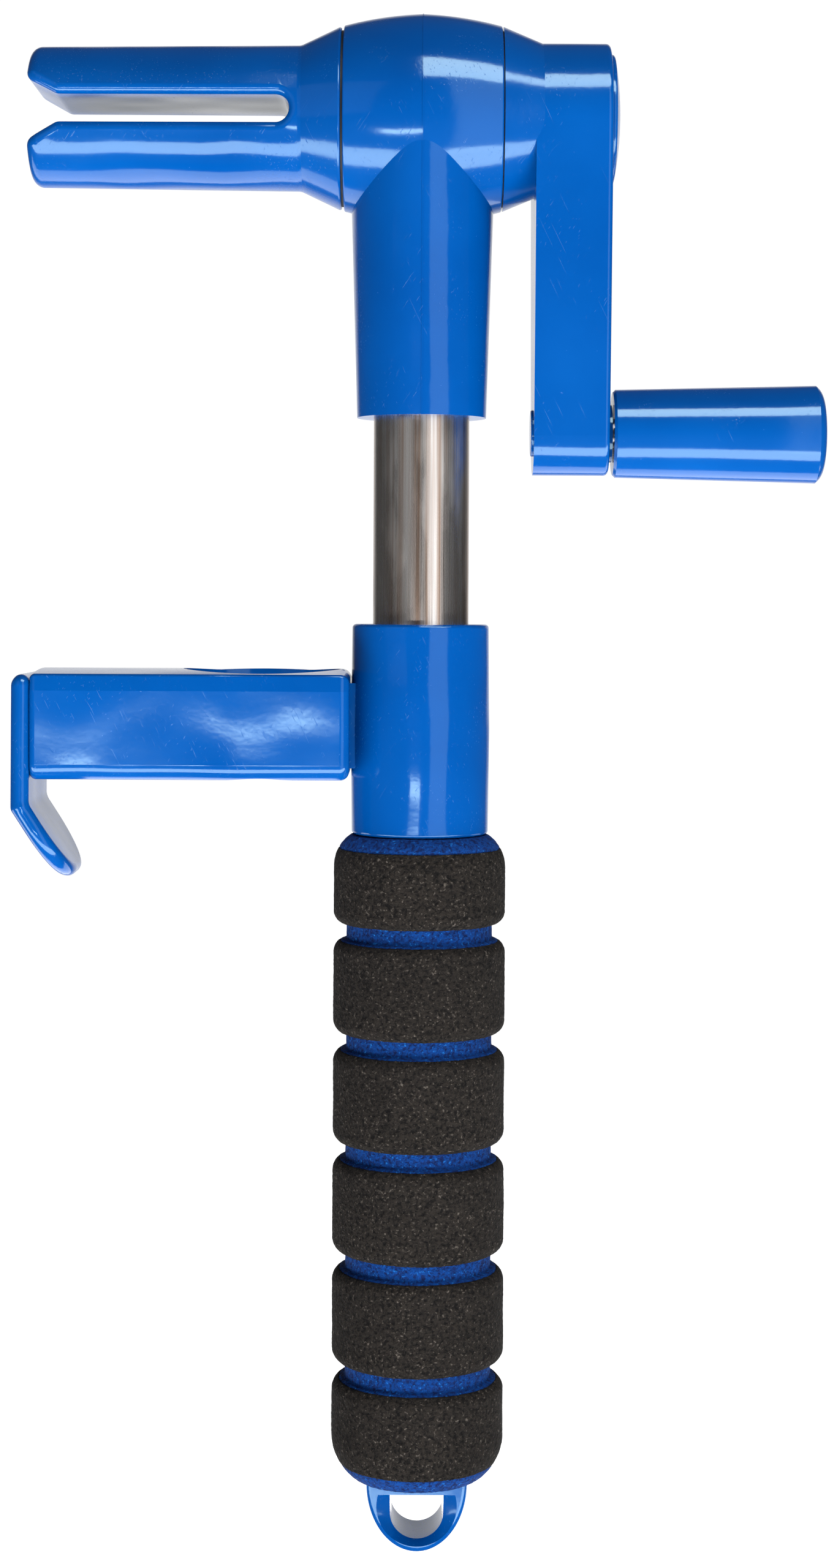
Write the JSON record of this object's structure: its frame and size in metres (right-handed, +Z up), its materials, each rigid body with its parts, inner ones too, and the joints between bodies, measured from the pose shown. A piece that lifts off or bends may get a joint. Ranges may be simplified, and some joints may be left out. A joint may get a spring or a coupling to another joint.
{
  "type": "hand crank winder",
  "caption": "Hand-cranked winder: slotted winding fork and crank with a spinning knob on a short steel pole, guide arm with eye and hook, banded foam grip and hanging loop.",
  "frame": {"origin": "on the pole's axis, halfway along the bare stretch between the tee and the collar", "axes": "+Z up the pole towards the tee, +X along the crank shaft towards the crank, -Y towards the front"},
  "size_m": [0.2135, 0.0552, 0.4057],
  "materials": {
    "blue_plastic": "gloss",
    "white_acetal": "satin",
    "dark_acetal": "satin",
    "steel_hardware": "satin",
    "pole_steel": "satin",
    "blue_foam": "matte",
    "black_foam": "matte"
  },
  "bodies": {
    "handle": {"tee_housing": "blue_plastic", "pole_tube": "pole_steel", "tee_screw": "steel_hardware", "collar_screw": "steel_hardware", "bush_fork_side": "white_acetal", "bush_crank_side": "white_acetal", "thrust_washer_fork_side": "dark_acetal", "thrust_washer_crank_side": "dark_acetal", "guide_arm": "blue_plastic", "guide_hook": "blue_plastic", "hook_screws": "steel_hardware", "grip_core": "blue_foam", "grip_band_1": "black_foam", "grip_band_2": "black_foam", "grip_band_3": "black_foam", "grip_band_4": "black_foam", "grip_band_5": "black_foam", "grip_band_6": "black_foam", "end_plug": "blue_plastic", "plug_pin": "steel_hardware"},
    "rotor": {"drive_shaft": "steel_hardware", "shaft_key": "steel_hardware", "winding_fork": "blue_plastic", "fork_pin": "steel_hardware", "crank_arm": "blue_plastic", "crank_washer": "steel_hardware", "crank_screw": "steel_hardware", "crank_cap": "blue_plastic", "knob_spindle": "steel_hardware", "spindle_nut": "blue_plastic", "knob_washer": "steel_hardware"},
    "knob": {"crank_knob": "blue_plastic", "knob_cap": "blue_plastic"}
  },
  "joints": [
    {"name": "crank_spin", "type": "hinge", "parent": "handle", "child": "rotor", "pos_m": [0, 0, 0.1069], "axis": [1, 0, 0], "continuous": true},
    {"name": "knob_spin", "type": "hinge", "parent": "rotor", "child": "knob", "pos_m": [0.08, 0, 0.0235], "axis": [1, 0, 0], "continuous": true}
  ]
}
